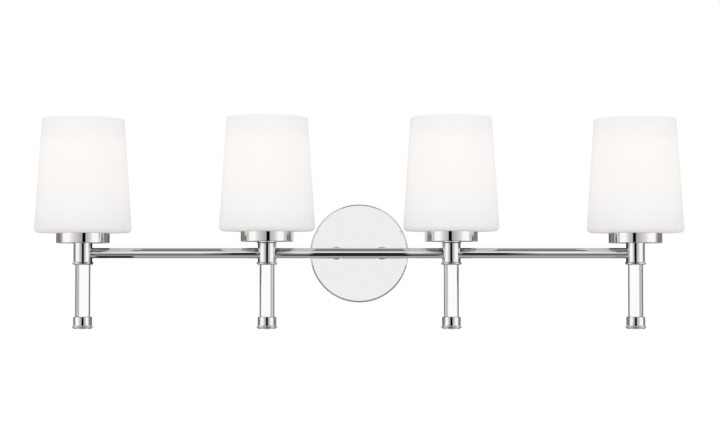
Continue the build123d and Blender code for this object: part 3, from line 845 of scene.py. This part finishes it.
def bulb_cap(lamp):
    """A screw cap from the insulator's foot, up the rolled shell and over its rim, and down inside."""
    node = f"bulb_cap_{lamp}"
    low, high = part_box(node)
    height = high.z - low.z
    shell_low = INSULATOR_HEIGHT + CAP_SHEET
    shell_high = height - CAP_RIM_HEIGHT - CAP_NECK
    outline = eased(
        (0, 0, 0),
        (INSULATOR, 0, INSULATOR_EASING),
        (CAP_RADIUS - CAP_SHEET, INSULATOR_HEIGHT, 0),
        *rungs(CAP_RADIUS, shell_low, shell_high, CAP_PITCH / 2),
        (CAP_RIM, height - CAP_RIM_HEIGHT, CAP_RIM_FOOT_EASING),
        (CAP_RIM, height, CAP_RIM_TOP_EASING),
        (CAP_RADIUS - CAP_SHEET, height, 0),
        (CAP_RADIUS - 2 * CAP_SHEET, shell_low + CAP_SHEET, 0),
        (0, shell_low + CAP_SHEET, 0),
    )
    mesh = bmesh.new()
    rolled = thread(shell_low, shell_high, CAP_RADIUS, CAP_PITCH, CAP_THREAD_DEPTH)
    turn(mesh, outline, Matrix(), CAP_STEPS, rolled)
    for face in mesh.faces:
        if face.calc_center_median().z < INSULATOR_HEIGHT:
            face.material_index = 1
    foot = Vector((middle(node).x, middle(node).y, low.z))
    fit(mesh, f"screw_cap_{lamp}", foot, f"bulb_{lamp}", "bulb_cap", [node], cap_metal, insulator)


bulb_glass, insulator = make_bulb_glass(), make_insulator()
cap_marks = stretched(CAP_MARKS_ROUND, CAP_MARKS_ROUND, CAP_MARKS_PER_METRE)
cap_metal = polished("rolled_cap", CAP_METAL, CAP_CLEAN, CAP_HAZY, cap_marks)
for lamp in LAMPS:
    dress(bulb_glass, f"bulb_glass_{lamp}")
    bulb_cap(lamp)
    dress(brass, f"bulb_contact_{lamp}")


# Studio: a pale floor that fades out, white surroundings, a soft key and fill light,
# and large cards, from pale to dark, that only the metal sees.
FLOOR = (0.86, 0.86, 0.85, 1)
FLOOR_MIDDLE = (0, -0.1, -0.45)
FLOOR_REACH = 1.3
FLOOR_FADE = 0.9
WHITE = (1, 1, 1, 1)
SURROUND_LIGHT = 0.75
STUDIO_WALLS = (
    (0, 1.00),
    (40, 1.00),
    (52, 1.10),
    (80, 1.10),
    (86, 0.85),
    (92, 0.50),
    (98, 0.36),
    (106, 0.25),
    (125, 0.20),
    (138, 0.28),
    (150, 0.14),
    (180, 0.08),
)
REAR_WALLS = (0.75, 0.75, 0.75, 1)
REAR_START, REAR_FULL = radians(90), radians(115)
STEEP_START, STEEP_FULL = 0.08, 0.26
STUDIO_WIDTH = 3.2
STUDIO_FRONT = -1.5
TABLE_WIDTH = 2.4
TABLE_HEIGHT = -0.30
TABLE_TOP = -0.295


def stage_material(name):
    """An empty material: the material, its node tree and its output node."""
    made = bpy.data.materials.new(name)
    made.use_nodes = True
    tree = made.node_tree
    tree.nodes.clear()
    return made, tree, add(tree, "ShaderNodeOutputMaterial")


def plane(name, width, depth, location, rotation, material):
    """A flat sheet of the studio, which isn't part of the object; its rotation is in degrees."""
    data = bpy.data.meshes.new(name)
    corners = [(width * x, depth * y, 0) for x, y in ((-0.5, -0.5), (0.5, -0.5), (0.5, 0.5), (-0.5, 0.5))]
    data.from_pydata(corners, [], [(0, 1, 2, 3)])
    data.materials.append(material)
    made = bpy.data.objects.new(name, data)
    made.location, made.rotation_euler = location, Euler([radians(angle) for angle in rotation])
    bpy.context.scene.collection.objects.link(made)
    made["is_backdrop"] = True
    return made


def make_floor():
    made, tree, out = stage_material("studio_floor")
    reach = add(tree, "ShaderNodeVectorMath", {0: coordinates(tree)}, operation="LENGTH").outputs["Value"]
    paint = add(tree, "ShaderNodeBsdfDiffuse", {"Color": FLOOR})
    clear = add(tree, "ShaderNodeBsdfTransparent")
    fade = ranged(tree, reach, FLOOR_FADE, FLOOR_REACH)
    fade = sums(tree, "MAXIMUM", fade, add(tree, "ShaderNodeNewGeometry").outputs["Backfacing"])
    both = add(tree, "ShaderNodeMixShader", {0: fade, 1: paint.outputs[0], 2: clear.outputs[0]})
    tree.links.new(both.outputs[0], out.inputs["Surface"])
    plane("floor", 2 * FLOOR_REACH, 2 * FLOOR_REACH, FLOOR_MIDDLE, (0, 0, 0), made)


def card(name, size, location, glow, density=1, soft=(0, 0), level=False, through=False):
    """An upright or level card that shows only in metal, or only through the clear rods.
    Soft gives the part of its width and height over which it fades out at each edge."""
    made, tree, out = stage_material(name)
    split = add(tree, "ShaderNodeSeparateXYZ", {"Vector": coordinates(tree, "Generated")})
    cover = density
    for axis, part in zip("XY", soft):
        if part:
            from_edge = sums(tree, "PINGPONG", split.outputs[axis], 0.5)
            cover = sums(tree, "MULTIPLY", cover, ranged(tree, from_edge, 0, part))
    paint = add(tree, "ShaderNodeEmission", {"Color": (glow, glow, glow, 1)})
    clear = add(tree, "ShaderNodeBsdfTransparent")
    both = add(tree, "ShaderNodeMixShader", {0: cover, 1: clear.outputs[0], 2: paint.outputs[0]})
    tree.links.new(both.outputs[0], out.inputs["Surface"])
    board = plane(name, *size, location, (0 if level else 90, 0, 0), made)
    board.visible_camera = board.visible_diffuse = board.visible_shadow = False
    board.visible_glossy, board.visible_transmission = not through, through


def light(name, power, size, location):
    """A soft square lamp, aimed at the origin, that metal doesn't mirror."""
    data = bpy.data.lights.new(name, "AREA")
    data.energy, data.size = power, size
    made = bpy.data.objects.new(name, data)
    made.location = location
    made.rotation_euler = (-Vector(location)).to_track_quat("-Z", "Y").to_euler()
    made.visible_glossy = False
    bpy.context.scene.collection.objects.link(made)


def make_surround():
    """White to the camera and through glass; metal mirrors walls that darken towards the back."""
    world = bpy.data.worlds.new("studio")
    world.use_nodes = True
    tree = world.node_tree
    ray = add(tree, "ShaderNodeLightPath").outputs
    mirrored = sums(tree, "MAXIMUM", ray["Is Glossy Ray"], ray["Is Transmission Ray"])
    seen = sums(tree, "MAXIMUM", mirrored, ray["Is Camera Ray"])
    way = add(tree, "ShaderNodeSeparateXYZ", {"Vector": coordinates(tree, "Generated")}).outputs
    sideways = add(tree, "ShaderNodeMath", {0: way["X"]}, operation="ABSOLUTE").outputs[0]
    bearing = sums(tree, "ARCTAN2", sideways, sums(tree, "MULTIPLY", way["Y"], -1))
    stops = [(angle / 180, (bright, bright, bright, 1)) for angle, bright in STUDIO_WALLS]
    walls = ramp(tree, ranged(tree, bearing, 0, pi), stops)
    steep = add(tree, "ShaderNodeMath", {0: way["Z"]}, operation="ABSOLUTE").outputs[0]
    behind = ranged(tree, bearing, REAR_START, REAR_FULL)
    lifted = sums(tree, "MULTIPLY", ranged(tree, steep, STEEP_START, STEEP_FULL), behind)
    walls = mixed(tree, lifted, walls, REAR_WALLS)
    background = tree.nodes["Background"]
    metal_only = sums(tree, "GREATER_THAN", ray["Is Glossy Ray"], ray["Is Transmission Ray"])
    tree.links.new(mixed(tree, metal_only, WHITE, walls), background.inputs["Color"])
    tree.links.new(ranged(tree, seen, 0, 1, SURROUND_LIGHT, 1), background.inputs["Strength"])
    bpy.context.scene.world = world


make_floor()
make_surround()
light("key", power=7, size=1.4, location=(-1.2, -1.6, 1.6))
light("fill", power=3, size=1.2, location=(1.4, -1.4, 0.8))
card("softbox", (STUDIO_WIDTH, 0.65), (0, STUDIO_FRONT, 0.455), glow=0.95)
card("softbox_edge", (STUDIO_WIDTH, 0.92), (0, STUDIO_FRONT, 1.24), glow=0.60)
card("ceiling", (STUDIO_WIDTH, 1.36), (0, -0.42, 1.0), glow=0.16, soft=(0, 0.2), level=True)
card("back_wall", (STUDIO_WIDTH, 1.9), (0, 1.0, 1.55), glow=0.45)
card("table_edge", (TABLE_WIDTH, 0.13), (0, STUDIO_FRONT, -0.235), glow=0.20)
for name, near, far, glow in (
    ("table_front", STUDIO_FRONT, -0.45, 0.17),
    ("table_middle", -0.45, -0.2, 0.30),
    ("table_under", -0.2, -0.02, 0.47),
    ("table_back", -0.02, 0.6, 0.25),
):
    card(name, (TABLE_WIDTH, far - near), (0, (near + far) / 2, TABLE_HEIGHT), glow, level=True)
card("table_shadow", (0.235, 0.20), (0, -0.32, -0.297), glow=0.07, level=True)
card("table_flag", (0.15, 0.56), (0, -0.47, TABLE_TOP), glow=0.02, level=True)
card("table_light", (0.15, 0.50), (0, 0.22, TABLE_TOP), glow=0.42, level=True)


# Camera: straight in front of the plate and a little below the bar, tilted up slightly,
# as the photograph was taken. Colours show as they are written.
CAMERA = Vector((0.0010, -1.9, -0.0094))
CAMERA_TILT = radians(91.509)
CAMERA_LENS = 72.5
camera = bpy.data.objects.new("camera", bpy.data.cameras.new("camera"))
camera.location = CAMERA
camera.rotation_euler = (CAMERA_TILT, 0, 0)
camera.data.lens = CAMERA_LENS
bpy.context.scene.collection.objects.link(camera)
bpy.context.scene.camera = camera
bpy.context.scene.view_settings.view_transform = "Standard"


# Dark cards in front of the bar: a line that the middle of the tube mirrors, with ends that fade out,
# and one under the tube's left end.
BAR_DARK = 0.02
BAR_LINE_Y = -0.108
BAR_FADE_Y = -0.1083
BAR_LINE_TOP = 0.0006
BAR_LINE_SOFT = (0.06, 0)
FADE_OUT = (0.5, 0)
for name, x, width, low in (
    ("middle", 0, 0.126, -0.0029),
    ("left", -0.1422, 0.0324, -0.0045),
    ("right", 0.1535, 0.056, -0.0050),
):
    place = (x, BAR_LINE_Y, (BAR_LINE_TOP + low) / 2)
    card(f"bar_line_{name}", (width, BAR_LINE_TOP - low), place, BAR_DARK, soft=BAR_LINE_SOFT)
for name, x, z, width, height, density in (
    ("left", -0.1584, -0.00195, 0.074, 0.0051, 0.9),
    ("right", 0.1814, -0.0022, 0.089, 0.0056, 1),
):
    card(f"bar_fade_{name}", (width, height), (x, BAR_FADE_Y, z), BAR_DARK, density, FADE_OUT)
card("bar_under", (0.052, 0.040), (-0.3055, -0.095, -0.020), glow=0.03, soft=(0.1, 0.1), level=True)


# Dark cards for each lamp: a line and a softer shade that its cup, hub and cap mirror, one beside the hub,
# one under a middle lamp's collar, and a grey one behind the half of its rod that is duller.
OUTER_LAMPS = (1, 4)
DULL_ON_THE_RIGHT = (1, 3)
BLACK = 0
CUP_LINE = 0.0098
CUP_LINE_ASIDE = 0.0026
CUP_LINE_SOFT = (0.12, 0)
CUP_LINE_Y = -0.150
CUP_SHADE = 0.081
CUP_SHADE_DENSITY = 0.6
CUP_SHADE_Y = -0.151
CUP_CARD_HEIGHT = 0.016
CUP_CARD_Z = 0.020
HUB_CARD_HEIGHT = 0.028
HUB_CARD_Z = -0.0005
CAP_CARD_HEIGHT = 0.017
CAP_CARD_Z = -0.088
LINE_SOFT = (0.1, 0)
SHADE_DENSITY = 0.75
SHADE_NEARER = 0.0005
HUB_EDGE = 0.014
HUB_EDGE_OUTER = 0.020
HUB_EDGE_ASIDE = 0.0115
HUB_EDGE_BEHIND = 0.005
# How far out from the wall, and how wide the line and the shade are.
FAR_CARDS = (-0.135, 0.0150, 0.068)
NEAR_CARDS = (-0.1155, 0.0050, 0.0224)
COLLAR_CARD = (0.034, 0.040)
COLLAR_CARD_Z = 0.0085
ROD_CARD = (0.0072, 0.110)
ROD_CARD_ASIDE = 0.0070
ROD_CARD_Y = -0.075
ROD_CARD_Z = -0.047


def in_sight(axis, y):
    """Where the line from a lamp's axis to the camera crosses a plane parallel to the wall."""
    return axis.x + (CAMERA.x - axis.x) * (y - axis.y) / (CAMERA.y - axis.y)


for lamp in LAMPS:
    axis = middle(f"hub_{lamp}")
    outer = lamp in OUTER_LAMPS
    inwards = 1 if axis.x < 0 else -1
    duller = 1 if lamp in DULL_ON_THE_RIGHT else -1
    x = in_sight(axis, CUP_LINE_Y)
    place = (x + CUP_LINE_ASIDE * inwards, CUP_LINE_Y, CUP_CARD_Z)
    card(f"cup_line_{lamp}", (CUP_LINE, CUP_CARD_HEIGHT), place, BLACK, soft=CUP_LINE_SOFT)
    place = (x, CUP_SHADE_Y, CUP_CARD_Z)
    card(f"cup_shade_{lamp}", (CUP_SHADE, CUP_CARD_HEIGHT), place, BLACK, CUP_SHADE_DENSITY, FADE_OUT)
    for name, height, z, (y, line, shade) in (
        ("hub", HUB_CARD_HEIGHT, HUB_CARD_Z, NEAR_CARDS if outer else FAR_CARDS),
        ("cap", CAP_CARD_HEIGHT, CAP_CARD_Z, FAR_CARDS),
    ):
        x = in_sight(axis, y)
        card(f"{name}_line_{lamp}", (line, height), (x, y, z), BLACK, soft=LINE_SOFT)
        place = (x, y - SHADE_NEARER, z)
        card(f"{name}_shade_{lamp}", (shade, height), place, BLACK, SHADE_DENSITY, FADE_OUT)
    y = axis.y + HUB_EDGE_BEHIND
    width = HUB_EDGE_OUTER if outer else HUB_EDGE
    x = in_sight(axis, y) + duller * (HUB_EDGE_ASIDE + width / 2)
    card(f"hub_edge_{lamp}", (width, HUB_CARD_HEIGHT), (x, y, HUB_CARD_Z), glow=0.01)
    if not outer:
        place = (axis.x, axis.y, COLLAR_CARD_Z)
        card(f"collar_shade_{lamp}", COLLAR_CARD, place, 0.04, 0.85, soft=(0.2, 0.2), level=True)
    place = (in_sight(axis, ROD_CARD_Y) + ROD_CARD_ASIDE * duller, ROD_CARD_Y, ROD_CARD_Z)
    card(f"rod_half_{lamp}", ROD_CARD, place, glow=0.45, soft=(0.2, 0.19), through=True)


# Sizes: the box of the finished model, in metres.
low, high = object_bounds()
